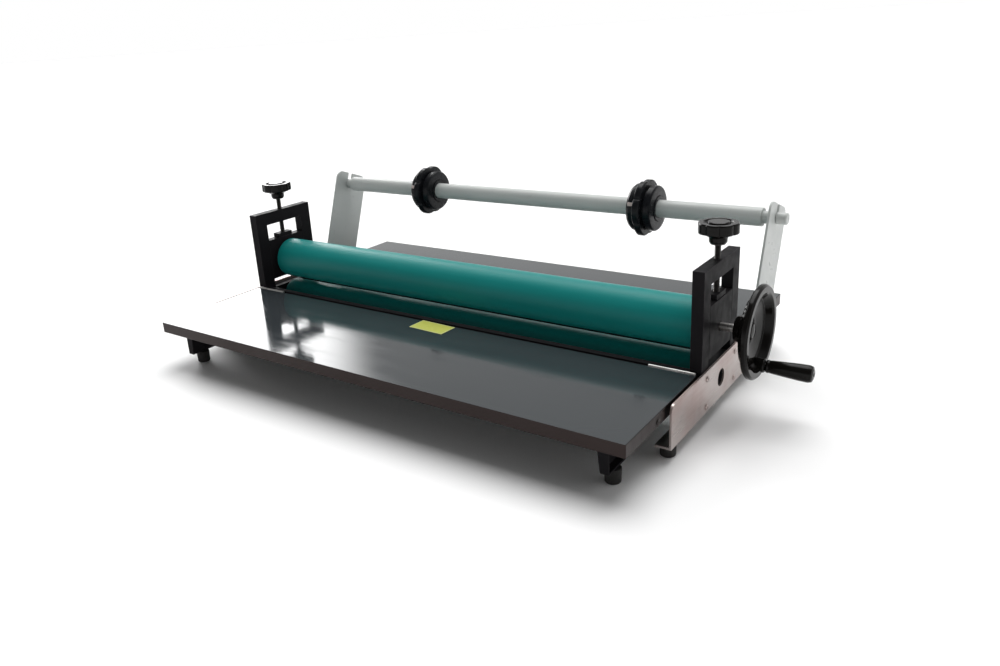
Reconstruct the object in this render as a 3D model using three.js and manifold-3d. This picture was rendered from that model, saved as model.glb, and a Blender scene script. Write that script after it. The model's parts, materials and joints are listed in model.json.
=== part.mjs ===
// Manual cold roll laminator: two rubber rollers between cast end frames, a folding
// feed table, a fixed delivery table and a supply shaft with two core hubs behind.
//
// Working frame (millimetres): X along the rollers, Y from the feed side to the
// delivery side, Z up. X = 0 is the middle of the rollers, Y = 0 is the plane of the
// roller axes and Z = 0 is the floor. The finished part is moved by PART_SHIFT so its
// origin lies under the middle of its bounding box.

import * as THREE from 'three';
import { mergeVertices } from 'three/addons/utils/BufferGeometryUtils.js';
import Module from 'manifold-3d';

const wasm = await Module();
wasm.setup();

const PART_SHIFT = [-40, -5, 0];
const GAP = 0.3;

// ---------------------------------------------------------------- driving sizes

const table = { halfWidth: 360, top: 66.5, lip: 15, sheet: 2, frontEdge: -237, rearEdge: 247 };
const feedTableBack = -61.2;
const deliveryTableFront = 56.8;

const frame = { inner: 349.5, outer: 363, halfDepth: 55.5, bottom: 18.8, top: 182 };
const slot = { halfWidth: 35, bottom: 24, top: 163 };
const frameMid = (frame.inner + frame.outer) / 2;

const sidePlate = { inner: 363.3, outer: 365.8, halfLength: 143, bottom: 16, top: 66.2 };
const sideFlange = { inner: 347.5, thickness: 2.5 };
const sideHoleRadius = 10.5;
const sideScrewY = 45;
const sideScrewZ = [23, 57];

const sleeveWall = 13;
const sleeveHalf = 343;
const coreHalf = 346;
const upperRadius = 30;
const upperAxisZ = 103.7;
const lowerRadius = 25;
const lowerAxisZ = table.top - lowerRadius;
const journalRadius = 8;
const stubRadius = 5;

const upperBlock = { bottom: 75, top: 138 };
const lowerBlock = { bottom: 24.3, top: 62 };

const screwRadius = 3.6;
const knob = { bottom: 200, hubRadius: 10, discBottom: 210, top: 224, radius: 22.5 };

const wheel = { back: 380.5, front: 395, radius: 53.5, rimBack: 401, rimFront: 409 };
const handle = { y: 11, dropZ: -43.2, root: 412.4, tip: 463 };

const upright = {
  inner: 366.1, outer: 369.1, leanDegrees: 20, front: -31, back: 39, baseZ: 22, above: 18,
};
const supply = { y: 172, z: 190, radius: 12, bore: 9.6, halfLength: 353, plugEnd: 383 };
const hubCentres = { left: -184, right: 194 };

const foot = {
  radius: 9, height: 16.7, tableX: 329, feedY: -201, deliveryY: 211,
  sideX: 355, sideY: 125, sideHeight: 15.7,
};

// -------------------------------------------------------------------- materials

const looks = {
  tablePaint: { color: 0x3a3f44, roughness: 0.12, metalness: 0.3 },
  framePaint: { color: 0x26242a, roughness: 0.4, metalness: 0.2 },
  galvanised: { color: 0xa8a099, roughness: 0.45, metalness: 0.8 },
  greyPaint: { color: 0xa6aaac, roughness: 0.4, metalness: 0.1 },
  steel: { color: 0xb5b5b5, roughness: 0.3, metalness: 1 },
  greenRubber: { color: 0x0d6f66, roughness: 0.35, metalness: 0 },
  bakelite: { color: 0x0d0c0b, roughness: 0.2, metalness: 0 },
  blackPlastic: { color: 0x17181b, roughness: 0.4, metalness: 0 },
  rubberFoot: { color: 0x121212, roughness: 0.8, metalness: 0 },
  yellowLabel: { color: 0xc3cc55, roughness: 0.6, metalness: 0 },
};

// --------------------------------------------------------------- shape builders

// Strips shading data, drops zero-area triangles and makes every face point outward.
function clean(geometry) {
  let g = geometry.index ? geometry : mergeVertices(geometry, 1e-4);
  g = g.clone();
  g.deleteAttribute('normal');
  g.deleteAttribute('uv');
  g = mergeVertices(g, 1e-4);
  const p = g.attributes.position;
  const kept = [];
  let volume = 0;
  const a = new THREE.Vector3();
  const b = new THREE.Vector3();
  const c = new THREE.Vector3();
  for (let i = 0; i < g.index.count; i += 3) {
    const [ia, ib, ic] = [g.index.getX(i), g.index.getX(i + 1), g.index.getX(i + 2)];
    if (ia === ib || ib === ic || ia === ic) continue;
    kept.push(ia, ib, ic);
    a.fromBufferAttribute(p, ia);
    b.fromBufferAttribute(p, ib);
    c.fromBufferAttribute(p, ic);
    volume += a.dot(b.clone().cross(c));
  }
  if (volume < 0) kept.reverse();
  g.setIndex(kept);
  return g;
}

function toSolid(geometry) {
  const g = clean(geometry);
  const mesh = new wasm.Mesh({
    numProp: 3,
    vertProperties: new Float32Array(g.attributes.position.array),
    triVerts: new Uint32Array(g.index.array),
  });
  return new wasm.Manifold(mesh);
}

function toGeometry(solid) {
  const mesh = solid.getMesh();
  const g = new THREE.BufferGeometry();
  g.setAttribute('position', new THREE.BufferAttribute(new Float32Array(mesh.vertProperties), 3));
  g.setIndex(new THREE.BufferAttribute(new Uint32Array(mesh.triVerts), 1));
  return g;
}

function join(...geometries) {
  return toGeometry(geometries.map(toSolid).reduce((all, next) => all.add(next)));
}

function cut(body, ...tools) {
  return toGeometry(tools.map(toSolid).reduce((rest, tool) => rest.subtract(tool), toSolid(body)));
}

function box(x, y, z) {
  const g = new THREE.BoxGeometry(x[1] - x[0], y[1] - y[0], z[1] - z[0]);
  g.translate((x[0] + x[1]) / 2, (y[0] + y[1]) / 2, (z[0] + z[1]) / 2);
  return g;
}

function rodAlongX(radius, x, y, z, segments = 24) {
  const g = new THREE.CylinderGeometry(radius, radius, x[1] - x[0], segments);
  g.rotateZ(Math.PI / 2);
  g.translate((x[0] + x[1]) / 2, y, z);
  return g;
}

function rodAlongZ(radius, z, x, y, segments = 24) {
  const g = new THREE.CylinderGeometry(radius, radius, z[1] - z[0], segments);
  g.rotateX(Math.PI / 2);
  g.translate(x, y, (z[0] + z[1]) / 2);
  return g;
}

// Revolves a profile of [x, radius] pairs about an axis parallel to X.
function turnedAlongX(profile, y, z, segments = 24) {
  const points = profile.map(([x, r]) => new THREE.Vector2(r, x));
  const g = new THREE.LatheGeometry(points, segments);
  g.rotateZ(-Math.PI / 2);
  g.translate(0, y, z);
  return clean(g);
}

// Revolves a profile of [z, radius] pairs about a vertical axis.
function turnedAlongZ(profile, x, y, segments = 24) {
  const points = profile.map(([z, r]) => new THREE.Vector2(r, z));
  const g = new THREE.LatheGeometry(points, segments);
  g.rotateX(Math.PI / 2);
  g.translate(x, y, 0);
  return clean(g);
}

// Extrudes an outline of [y, z] pairs between two X positions.
function plateAcrossX(outline, x) {
  const shape = new THREE.Shape(outline.map(([y, z]) => new THREE.Vector2(y, z)));
  const g = new THREE.ExtrudeGeometry(shape, { depth: x[1] - x[0], bevelEnabled: false });
  const turn = new THREE.Matrix4().makeBasis(
    new THREE.Vector3(0, 1, 0), new THREE.Vector3(0, 0, 1), new THREE.Vector3(1, 0, 0));
  g.applyMatrix4(turn);
  g.translate(x[0], 0, 0);
  return g;
}

function arc(cy, cz, radius, fromDegrees, toDegrees, steps) {
  const points = [];
  for (let i = 0; i <= steps; i += 1) {
    const a = THREE.MathUtils.degToRad(fromDegrees + (toDegrees - fromDegrees) * i / steps);
    points.push([cy + radius * Math.cos(a), cz + radius * Math.sin(a)]);
  }
  return points;
}

// Outline of a wheel whose edge swells into rounded lobes between two radii.
function lobedOutline(lobes, outer, inner, stepsPerLobe) {
  const points = [];
  const count = lobes * stepsPerLobe;
  for (let i = 0; i < count; i += 1) {
    const a = 2 * Math.PI * i / count;
    const swell = Math.sqrt(Math.abs(Math.cos(lobes * a / 2)));
    const r = inner + (outer - inner) * swell;
    points.push([r * Math.cos(a), r * Math.sin(a)]);
  }
  return points;
}

function mirrored(geometry) {
  const g = clean(geometry);
  g.scale(-1, 1, 1);
  return clean(g);
}

// ------------------------------------------------------------------- assembling

const part = new THREE.Group();

function add(name, look, geometry) {
  const g = clean(geometry);
  g.translate(...PART_SHIFT);
  g.computeVertexNormals();
  const mesh = new THREE.Mesh(g, new THREE.MeshStandardMaterial(looks[look]));
  mesh.name = name;
  part.add(mesh);
}

// Builds the right-hand piece once and adds it with its mirror image on the left.
function addPair(name, look, rightGeometry) {
  add(`${name}_right`, look, rightGeometry);
  add(`${name}_left`, look, mirrored(rightGeometry));
}

// ----------------------------------------------------------------- end assembly

function endFrame() {
  const { inner, outer, halfDepth } = frame;
  const body = box([inner, outer], [-halfDepth, halfDepth], [frame.bottom, frame.top]);
  const window = box(
    [inner - 1, outer + 1], [-slot.halfWidth, slot.halfWidth], [slot.bottom, slot.top]);
  const screwHole = rodAlongZ(screwRadius + GAP, [slot.top - 1, frame.top + 1], frameMid, 0);
  const fixings = [];
  for (const y of [-sideScrewY, sideScrewY]) {
    for (const z of sideScrewZ) {
      fixings.push(rodAlongX(2.6, [frame.outer - 9, frame.outer + 1], y, z, 12));
    }
  }
  return cut(body, window, screwHole, ...fixings);
}

function sidePlateShape() {
  const { halfLength: h, bottom, top } = sidePlate;
  const outline = [
    [-h, bottom], [h, bottom],
    ...arc(h - 8, top - 8, 8, 0, 90, 5),
    ...arc(-h + 8, top - 8, 8, 90, 180, 5),
  ];
  const web = plateAcrossX(outline, [sidePlate.inner, sidePlate.outer]);
  const flange = box(
    [sideFlange.inner, sidePlate.outer - 0.5], [-h, h], [bottom, bottom + sideFlange.thickness]);
  const tools = [
    rodAlongX(sideHoleRadius, [sidePlate.inner - 1, sidePlate.outer + 1], 0, lowerAxisZ, 32),
  ];
  for (const y of [-sideScrewY, sideScrewY]) {
    for (const z of sideScrewZ) {
      tools.push(rodAlongX(2.6, [sidePlate.inner - 1, sidePlate.outer + 1], y, z, 12));
    }
  }
  return cut(join(web, flange), ...tools);
}

function sideScrew(y, z) {
  const seat = sidePlate.outer + 0.1;
  return turnedAlongX(
    [[frame.outer - 8, 0], [frame.outer - 8, 2.3], [seat, 2.3], [seat, 3.6], [seat + 1, 3.2],
      [seat + 1.7, 0]], y, z, 12);
}

function upperBearingBlock(side) {
  const y = [-slot.halfWidth + GAP, slot.halfWidth - GAP];
  const body = box([frame.inner, frame.outer], y, [upperBlock.bottom, upperBlock.top]);
  const pocket = rodAlongX(journalRadius + GAP, [frame.inner - 1, frame.outer - 2.7], 0, upperAxisZ, 32);
  if (side === 'left') return mirrored(cut(body, pocket));
  const stubHole = rodAlongX(
    stubRadius + GAP, [frame.outer - 4, frame.outer + 1], 0, upperAxisZ, 24);
  return cut(body, pocket, stubHole);
}

function lowerBearingBlock() {
  const y = [-slot.halfWidth + GAP, slot.halfWidth - GAP];
  const body = box([frame.inner, frame.outer], y, [lowerBlock.bottom, lowerBlock.top]);
  return cut(body, rodAlongX(journalRadius + GAP, [frame.inner - 1, frame.outer + 1], 0, lowerAxisZ, 32));
}

// Small bridge on top of the upper block that carries the pressure screw along.
function screwRetainer() {
  const z = [upperBlock.top + GAP, upperBlock.top + GAP + 6];
  const body = box([frameMid - 6, frameMid + 6], [-14, 14], z);
  return cut(body, rodAlongZ(screwRadius + GAP, [z[0] - 1, z[1] + 1], frameMid, 0));
}

function pressureScrew() {
  return rodAlongZ(screwRadius, [upperBlock.top + GAP, knob.top - 8], frameMid, 0);
}

function starKnob() {
  const outline = lobedOutline(8, knob.radius, knob.radius - 2.2, 6);
  const shape = new THREE.Shape(outline.map(([x, y]) => new THREE.Vector2(x, y)));
  const disc = new THREE.ExtrudeGeometry(shape, {
    depth: 9,
    bevelEnabled: true,
    bevelThickness: 1.8,
    bevelSize: 1.6,
    bevelOffset: -1.6,
    bevelSegments: 1,
  });
  disc.translate(frameMid, 0, knob.discBottom + 1.8);
  const hub = turnedAlongZ(
    [[knob.bottom, 0], [knob.bottom, 9], [knob.bottom + 1.2, knob.hubRadius],
      [knob.discBottom + 4, knob.hubRadius + 0.6], [knob.discBottom + 4, 0]], frameMid, 0, 24);
  const dome = turnedAlongZ(
    [[knob.top - 5, 0], [knob.top - 5, 13], [knob.top - 1.2, 11], [knob.top, 7], [knob.top, 0]],
    frameMid, 0, 24);
  const bore = rodAlongZ(screwRadius + GAP, [knob.bottom - 1, knob.top - 8 + GAP], frameMid, 0);
  return cut(join(disc, hub, dome), bore);
}

function uprightShape() {
  const lean = THREE.MathUtils.degToRad(upright.leanDegrees);
  const along = [Math.sin(lean), Math.cos(lean)];
  const across = [Math.cos(lean), -Math.sin(lean)];
  // point s along the bar and t across it, measured from the axis of the supply shaft
  const at = (s, t) => [
    supply.y + along[0] * s + across[0] * t,
    supply.z + along[1] * s + across[1] * t,
  ];
  const bend = (s, t, radius, degrees) => degrees.map((d) => {
    const a = THREE.MathUtils.degToRad(d);
    return at(s + radius * Math.sin(a), t + radius * Math.cos(a));
  });
  const { front, back, above: top } = upright;
  const corner = 12;
  const notch = 4.5;
  // distance along the bar at which an edge offset t meets the level of its foot
  const footAt = (t) => (upright.baseZ - supply.z - across[1] * t) / along[1];
  const outline = [
    at(footAt(front), front), at(footAt(back), back),
    ...bend(top - corner, back - corner, corner, [0, 22, 45, 68, 90]),
    at(top, notch),
    ...bend(0, 0, notch, [0, -30, -60, -90, -120, -150, -180]),
    at(top, -notch),
    ...bend(top - corner, front + corner, corner, [90, 112, 135, 158, 180]),
  ];
  const bar = plateAcrossX(outline, [upright.inner, upright.outer]);
  const heads = [30, 54].map((z) => {
    const y = supply.y + (z - supply.z) * Math.tan(lean) + (front + back) / 2;
    return turnedAlongX(
      [[upright.outer - 1, 0], [upright.outer - 1, 5.5], [upright.outer + 1.6, 5],
        [upright.outer + 2.6, 3], [upright.outer + 2.6, 0]], y, z, 16);
  });
  return join(bar, ...heads);
}

// --------------------------------------------------------------- tables and feet

function foldedTable(y) {
  const w = table.halfWidth;
  const bottom = table.top - table.lip;
  const body = box([-w, w], y, [bottom, table.top]);
  const inside = box(
    [-w + table.sheet, w - table.sheet],
    [y[0] + table.sheet, y[1] - table.sheet],
    [bottom - 1, table.top - table.sheet]);
  return cut(body, inside);
}

// Channel leg under a table, open towards the outside and wider at its top.
function footBracket(y) {
  const top = table.top - table.sheet - GAP;
  const bottom = foot.height + GAP;
  const outer = foot.tableX + 5;
  const inner = foot.tableX - 5;
  const flare = 5;
  const trapezoid = (inset) => {
    const low = bottom + inset;
    const high = top - inset;
    const open = inset > 0 ? outer + 1 : outer;
    return [[inner + inset, low], [open, low], [open, high], [inner - flare + inset, high]];
  };
  const slab = (outline, depth) => {
    const shape = new THREE.Shape(outline.map(([x, z]) => new THREE.Vector2(x, z)));
    const g = new THREE.ExtrudeGeometry(shape, { depth: 2 * depth, bevelEnabled: false });
    g.rotateX(Math.PI / 2);
    g.translate(0, y + depth, 0);
    return g;
  };
  return cut(slab(trapezoid(0), 19), slab(trapezoid(2), 17));
}

function rubberFoot(x, y, top) {
  return turnedAlongZ(
    [[0, 0], [0, foot.radius - 1.5], [1.5, foot.radius - 0.5], [top, foot.radius],
      [top, 0]], x, y, 16);
}

// Angle-section rail that ties the end frames together beside each table.
function tieRail(yOuter, direction) {
  const y = (d) => yOuter + direction * d;
  const span = [-frame.inner + GAP, frame.inner - GAP];
  const outline = [
    [y(0), 40], [y(2.5), 40], [y(2.5), 63.7], [y(9), 63.7], [y(9), 66.2], [y(0), 66.2],
  ];
  return plateAcrossX(direction > 0 ? outline : outline.reverse(), span);
}

const hinge = { y: -59.2, z: 66.5, knuckle: 1.6, pin: 0.85, from: 303, to: 358 };

function fixedHingeLeaf() {
  const leaf = box([hinge.from, hinge.to], [hinge.y + 0.6, hinge.y + 1.7], [48, hinge.z]);
  const relief = box([321.4, 340.6], [-62, -50], [hinge.z - 3.4, hinge.z + 3]);
  const knuckles = [[hinge.from, 321.4], [340.6, hinge.to]].map(
    (x) => rodAlongX(hinge.knuckle, x, hinge.y, hinge.z, 16));
  const pin = rodAlongX(hinge.pin, [320, 342], hinge.y, hinge.z, 12);
  return join(cut(leaf, relief), ...knuckles, pin);
}

function movingHingeLeaf() {
  const leaf = box([hinge.from, hinge.to], [hinge.y - 1.7, hinge.y - 0.6], [53, hinge.z]);
  const cutLeft = box([hinge.from - 1, 321.8], [-62, -56], [hinge.z - 3.2, hinge.z + 3]);
  const cutRight = box([340.2, hinge.to + 1], [-62, -56], [hinge.z - 3.2, hinge.z + 3]);
  const knuckle = rodAlongX(hinge.knuckle, [321.8, 340.2], hinge.y, hinge.z, 16);
  const bore = rodAlongX(hinge.pin + GAP, [321, 341], hinge.y, hinge.z, 12);
  return cut(join(cut(leaf, cutLeft, cutRight), knuckle), bore);
}

// --------------------------------------------------------------------- rollers

function rollerSleeve(radius, z) {
  const [a, b] = [-sleeveHalf, sleeveHalf];
  const bore = radius - sleeveWall;
  return turnedAlongX(
    [[a, bore], [a, radius - 1], [a + 1, radius], [b - 1, radius], [b, radius - 1], [b, bore],
      [a, bore]], 0, z, 48);
}

function upperShaft() {
  const core = upperRadius - sleeveWall - GAP;
  const end = frame.outer - 3.2;
  return turnedAlongX(
    [[-end, 0], [-end, journalRadius], [-coreHalf, journalRadius], [-coreHalf, core], [coreHalf, core],
      [coreHalf, journalRadius], [end, journalRadius], [end, stubRadius], [wheel.front - 1, stubRadius],
      [wheel.front - 1, 0]], 0, upperAxisZ, 48);
}

function lowerShaft() {
  const core = lowerRadius - sleeveWall - GAP;
  const end = frame.outer - 6;
  return turnedAlongX(
    [[-end, 0], [-end, journalRadius], [-coreHalf, journalRadius], [-coreHalf, core], [coreHalf, core],
      [coreHalf, journalRadius], [end, journalRadius], [end, 0]], 0, lowerAxisZ, 48);
}

// Dished handwheel with the fixed stud its revolving handle turns on.
function handwheel() {
  const r = wheel.radius;
  const bore = stubRadius + GAP;
  const dish = turnedAlongX(
    [[wheel.back, bore], [wheel.back, 13.5], [wheel.back + 1.5, 15], [387.5, 16], [391, 22],
      [395.2, 39.5], [wheel.rimBack, 44], [wheel.rimBack, r - 2], [wheel.rimBack + 2, r],
      [wheel.rimFront - 3, r], [wheel.rimFront, r - 3], [wheel.rimFront, 44.5],
      [wheel.rimFront - 2, 42.5], [400, 38.5], [395.8, 22], [wheel.front, 16], [wheel.front, bore],
      [wheel.back, bore]], 0, upperAxisZ, 36);
  const z = upperAxisZ + handle.dropZ;
  const boss = turnedAlongX(
    [[401.2, 0], [401.2, 8], [410, 8], [411.6, 6.5], [411.6, 0]], handle.y, z, 16);
  const stud = rodAlongX(3, [406, 454], handle.y, z, 12);
  return join(dish, boss, stud);
}

function revolvingHandle() {
  const { root, tip } = handle;
  return turnedAlongX(
    [[root, 3.3], [root, 6.4], [root + 1.5, 7.4], [root + 16, 8.2], [root + 36, 9.6],
      [tip - 5, 9.8], [tip - 1.5, 8.4], [tip, 5.6], [tip, 0], [454.6, 0], [454.6, 3.3],
      [root, 3.3]], handle.y, upperAxisZ + handle.dropZ, 20);
}

// ---------------------------------------------------------------- supply shaft

function supplyTube() {
  const h = supply.halfLength;
  const r = supply.radius;
  return turnedAlongX(
    [[-h, supply.bore], [-h, r - 1], [-h + 1, r], [h - 1, r], [h, r - 1], [h, supply.bore],
      [-h, supply.bore]], supply.y, supply.z, 28);
}

// Turned end piece: spigot in the tube, shoulder, neck that drops in the notch, collar.
function supplyPlug() {
  const h = supply.halfLength;
  return turnedAlongX(
    [[h - 20, 0], [h - 20, supply.bore - GAP], [h + GAP, supply.bore - GAP], [h + GAP, 8],
      [upright.inner - 0.6, 8], [upright.inner - 0.6, 4.2], [upright.outer + 0.6, 4.2],
      [upright.outer + 0.6, 7.5], [supply.plugEnd - 1, 7.5], [supply.plugEnd, 6.5], [supply.plugEnd, 0]],
    supply.y, supply.z, 16);
}

// Hub body: smooth flange disc with a long sleeve on its right-hand side.
function coreHub(x) {
  const bore = supply.radius + GAP;
  return turnedAlongX(
    [[x - 17, bore], [x - 17, 26], [x - 14, 31], [x - 8, 33], [x - 5, 32], [x - 4.4, 17], [x + 19, 17],
      [x + 20, 16], [x + 20, bore], [x - 17, bore]], supply.y, supply.z, 28);
}

// Lobed lock ring that turns on the sleeve of its hub, with a smaller nose disc.
function lockRing(x) {
  const lobes = lobedOutline(6, 39, 34, 6).map(([y, z]) => [y + supply.y, z + supply.z]);
  const ring = plateAcrossX(lobes, [x - 4, x + 7]);
  const nose = turnedAlongX(
    [[x + 5, 0], [x + 5, 30], [x + 17, 30], [x + 19, 27], [x + 19, 0]], supply.y, supply.z, 28);
  const bore = rodAlongX(17 + GAP, [x - 6, x + 21], supply.y, supply.z, 28);
  return cut(join(ring, nose), bore);
}

// ------------------------------------------------------------------ all pieces

addPair('end_frame', 'framePaint', endFrame());
addPair('side_plate', 'galvanised', sidePlateShape());
addPair('lower_block', 'framePaint', lowerBearingBlock());
add('upper_block_right', 'framePaint', upperBearingBlock('right'));
add('upper_block_left', 'framePaint', upperBearingBlock('left'));
addPair('screw_retainer', 'framePaint', screwRetainer());
addPair('pressure_screw', 'steel', pressureScrew());
addPair('star_knob', 'bakelite', starKnob());
addPair('upright', 'greyPaint', uprightShape());

for (const [row, y] of [['front', -sideScrewY], ['rear', sideScrewY]]) {
  for (const [level, z] of [['low', sideScrewZ[0]], ['high', sideScrewZ[1]]]) {
    addPair(`side_screw_${row}_${level}`, 'steel', sideScrew(y, z));
  }
}

add('front_rail', 'framePaint', tieRail(-frame.halfDepth, 1));
add('rear_rail', 'framePaint', tieRail(frame.halfDepth, -1));

add('feed_table', 'tablePaint', foldedTable([table.frontEdge, feedTableBack]));
add('delivery_table', 'tablePaint', foldedTable([deliveryTableFront, table.rearEdge]));
addPair('feed_bracket', 'framePaint', footBracket(foot.feedY));
addPair('delivery_bracket', 'framePaint', footBracket(foot.deliveryY));
addPair('feed_foot', 'rubberFoot', rubberFoot(foot.tableX, foot.feedY, foot.height));
addPair('delivery_foot', 'rubberFoot', rubberFoot(foot.tableX, foot.deliveryY, foot.height));
addPair('side_foot_front', 'rubberFoot', rubberFoot(foot.sideX, -foot.sideY, foot.sideHeight));
addPair('side_foot_rear', 'rubberFoot', rubberFoot(foot.sideX, foot.sideY, foot.sideHeight));
addPair('hinge_fixed', 'steel', fixedHingeLeaf());
addPair('hinge_moving', 'steel', movingHingeLeaf());

const label = box([-28, 28], [-14, 14], [table.top + 0.1, table.top + 0.5]);
label.rotateZ(THREE.MathUtils.degToRad(-3));
label.translate(4.5, -76, 0);
add('blank_label', 'yellowLabel', label);

add('upper_sleeve', 'greenRubber', rollerSleeve(upperRadius, upperAxisZ));
add('upper_shaft', 'steel', upperShaft());
add('lower_sleeve', 'greenRubber', rollerSleeve(lowerRadius, lowerAxisZ));
add('lower_shaft', 'steel', lowerShaft());
add('handwheel', 'bakelite', handwheel());
add('wheel_handle', 'bakelite', revolvingHandle());

add('supply_tube', 'greyPaint', supplyTube());
addPair('supply_plug', 'greyPaint', supplyPlug());
for (const side of ['left', 'right']) {
  add(`core_hub_${side}`, 'blackPlastic', coreHub(hubCentres[side]));
  add(`lock_ring_${side}`, 'blackPlastic', lockRing(hubCentres[side]));
}

export default part;
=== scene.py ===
"""Looks of a manual cold roll laminator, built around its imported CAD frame.

Units are metres in the CAD's own frame: X along the rollers, Y from the feed side to the
delivery side, Z up, floor at z = 0. Sizes written in millimetres are multiplied by MM.
"""

import json
import math
from functools import partial

import bmesh
import bpy
from mathutils import Matrix, Vector

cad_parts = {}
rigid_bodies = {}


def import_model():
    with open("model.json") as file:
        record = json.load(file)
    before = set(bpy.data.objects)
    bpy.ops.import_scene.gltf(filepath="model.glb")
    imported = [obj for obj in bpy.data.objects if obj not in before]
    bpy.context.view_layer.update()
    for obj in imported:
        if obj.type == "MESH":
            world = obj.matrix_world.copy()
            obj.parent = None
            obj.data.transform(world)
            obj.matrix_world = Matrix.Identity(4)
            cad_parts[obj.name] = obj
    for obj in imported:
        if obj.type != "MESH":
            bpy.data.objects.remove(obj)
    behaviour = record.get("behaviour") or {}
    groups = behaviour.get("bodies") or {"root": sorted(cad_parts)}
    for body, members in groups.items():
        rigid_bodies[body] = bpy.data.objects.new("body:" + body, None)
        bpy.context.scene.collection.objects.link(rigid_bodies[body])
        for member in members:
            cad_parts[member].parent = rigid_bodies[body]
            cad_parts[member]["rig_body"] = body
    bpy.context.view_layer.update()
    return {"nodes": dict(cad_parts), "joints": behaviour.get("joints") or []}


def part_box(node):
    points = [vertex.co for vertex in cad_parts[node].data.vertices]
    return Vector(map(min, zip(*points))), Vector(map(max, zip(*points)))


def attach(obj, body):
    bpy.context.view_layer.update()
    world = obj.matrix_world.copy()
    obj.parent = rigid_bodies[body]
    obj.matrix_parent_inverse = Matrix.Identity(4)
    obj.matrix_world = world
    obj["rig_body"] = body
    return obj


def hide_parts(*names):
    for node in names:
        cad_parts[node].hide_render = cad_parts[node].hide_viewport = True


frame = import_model()
nodes = frame["nodes"]
MM = 0.001
SIDES = ("right", "left")
OUTWARD = {"right": 1, "left": -1}

# Rollers and their shafts; JOURNAL and UPPER_STUB are radii.
SLEEVE_WALL = 13 * MM
JOURNAL = 8 * MM
SHAFT_SHOULDER = 3 * MM
UPPER_STUB = 5 * MM
JOURNAL_PAST_BLOCK = 3.2 * MM

# Pressure screws and star knobs; lobes deepen from the start radius to the rim.
THREAD_DEPTH = 0.7 * MM
THREAD_PITCH = 1.25 * MM
THREAD_STEPS = 8
KNOB_LOBES, KNOB_LOBE_DEPTH = 8, 2.4 * MM
KNOB_LOBES_START = 13 * MM

# Handwheel, in millimetres: rim radius, depth along X, and the face its cap sits on.
WHEEL_RIM = 53.5
WHEEL_DEPTH = 28.5
WHEEL_SEAT = 14.5

# Supply tube and its end plugs; all radii but the spigot's length.
TUBE_BORE = 9.6 * MM
PLUG_SPIGOT, PLUG_SHOULDER = 9.3 * MM, 8 * MM
PLUG_SPIGOT_LENGTH = 20.3 * MM
PLUG_NECK, PLUG_COLLAR = 4.2 * MM, 7.5 * MM

# Core hubs and lock rings: the first four in millimetres, like their profiles.
HUB_MIDDLE = 17
HUB_BORE, HUB_SLEEVE = 12.3, 17
RING_RIM = 39
RING_LOBES, RING_LOBE_DEPTH = 6, 5 * MM
RING_LOBES_START = 31 * MM
MARK_SIZE = (7.6 * MM, 5 * MM, 1.2 * MM)
MARK_TURN = math.radians(162)
MARK_REACH = 32.7 * MM

# Screws and label.
RECESS_TURN = math.radians(31)
UPRIGHT_SCREW_HEIGHTS = (30 * MM, 54 * MM)
UPRIGHT_SCREW_SETBACK = 8 * MM
LIP_SCREW_INSET, LIP_SCREW_DROP = 73 * MM, 9.5 * MM
LABEL_HALF = (26.3 * MM, 12.3 * MM)
LABEL_TURN = math.radians(-3)

# Stage.
FLOOR_RADIUS = 45
WINDOW_STRENGTH = 6.0
CAMERA_AT = (0.61036, -0.85006, 0.44059)
CAMERA_YAW, CAMERA_PITCH, CAMERA_ROLL = 0.6467, 0.3282, -0.0645


# ------------------------------------------------------------------ shader helpers


def feed(tree, socket, value):
    """Gives a socket another node's output or a constant."""
    if isinstance(value, bpy.types.NodeSocket):
        tree.links.new(value, socket)
    else:
        socket.default_value = value


def maths_node(tree, operation, a, b=0.0):
    node = tree.nodes.new("ShaderNodeMath")
    node.operation = operation
    feed(tree, node.inputs[0], a)
    feed(tree, node.inputs[1], b)
    return node.outputs[0]


def spread_node(tree, value, low, high, out_low=0.0, out_high=1.0):
    """Maps a value from [low, high] to [out_low, out_high], held inside that."""
    node = tree.nodes.new("ShaderNodeMapRange")
    node.interpolation_type = "SMOOTHSTEP"
    feed(tree, node.inputs["Value"], value)
    node.inputs["From Min"].default_value = low
    node.inputs["From Max"].default_value = high
    node.inputs["To Min"].default_value = out_low
    node.inputs["To Max"].default_value = out_high
    return node.outputs["Result"]


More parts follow.
